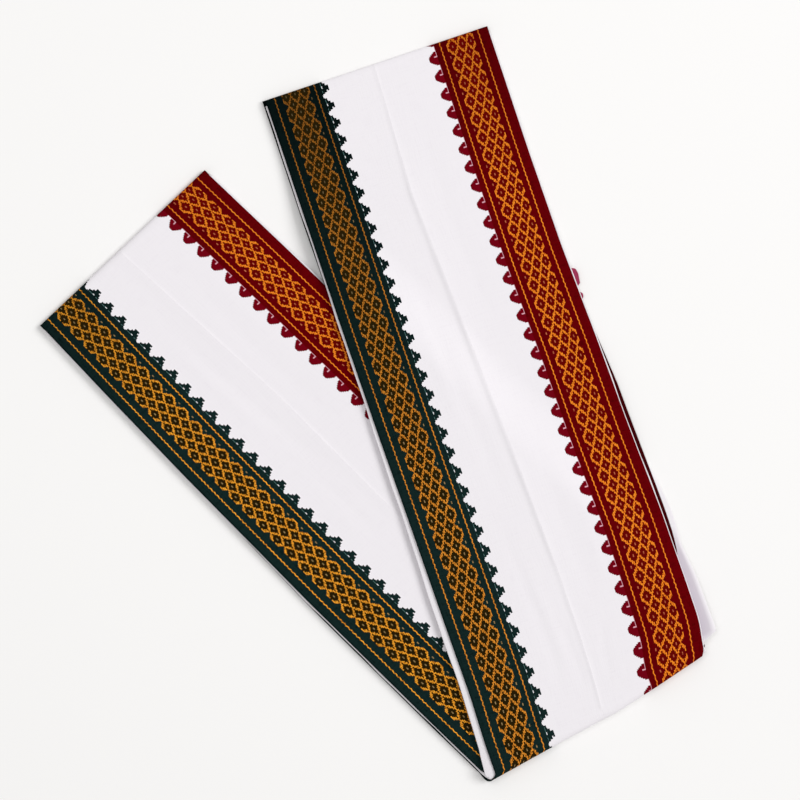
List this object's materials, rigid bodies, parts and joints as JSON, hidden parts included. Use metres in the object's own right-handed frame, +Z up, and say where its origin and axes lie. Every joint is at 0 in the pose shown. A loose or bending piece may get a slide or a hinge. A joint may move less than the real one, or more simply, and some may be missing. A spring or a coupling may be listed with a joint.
{
  "type": "folded angavastram stole",
  "caption": "Cotton stole with figured temple borders, box-folded lengthwise, doubled and laid flat in a V with one diagonal fold.",
  "frame": {"origin": "middle of the outline, on the surface the stole lies on", "axes": "+X towards the side the maroon borders face, +Y from the diagonal fold towards the upper leg's far end, +Z up out of the surface"},
  "size_m": [0.52, 0.5811, 0.0116],
  "materials": {
    "cotton_field": "plain weave bleached cotton, matt, faintly see-through at single layers",
    "green_border": "close dark green weave figured in gold thread",
    "maroon_border": "close maroon weave figured in gold thread"
  },
  "bodies": {
    "root": {"lower_back_green_border": "green_border", "lower_back_green_side_field": "cotton_field", "lower_back_maroon_side_field": "cotton_field", "lower_back_maroon_border": "maroon_border", "lower_hidden_layers": "cotton_field", "lower_face_green_border": "green_border", "lower_face_green_side_field": "cotton_field", "lower_face_maroon_side_field": "cotton_field", "lower_face_maroon_border": "maroon_border", "upper_back_green_border": "green_border", "upper_back_green_side_field": "cotton_field", "upper_back_maroon_side_field": "cotton_field", "upper_back_maroon_border": "maroon_border", "upper_hidden_layers": "cotton_field", "upper_face_green_border": "green_border", "upper_face_green_side_field": "cotton_field", "upper_face_maroon_side_field": "cotton_field", "upper_face_maroon_border": "maroon_border", "fold_outer_green_border": "green_border", "fold_outer_green_side_field": "cotton_field", "fold_outer_maroon_side_field": "cotton_field", "fold_outer_maroon_border": "maroon_border", "fold_hidden_layers": "cotton_field", "fold_inner_panels": "cotton_field"}
  },
  "joints": []
}
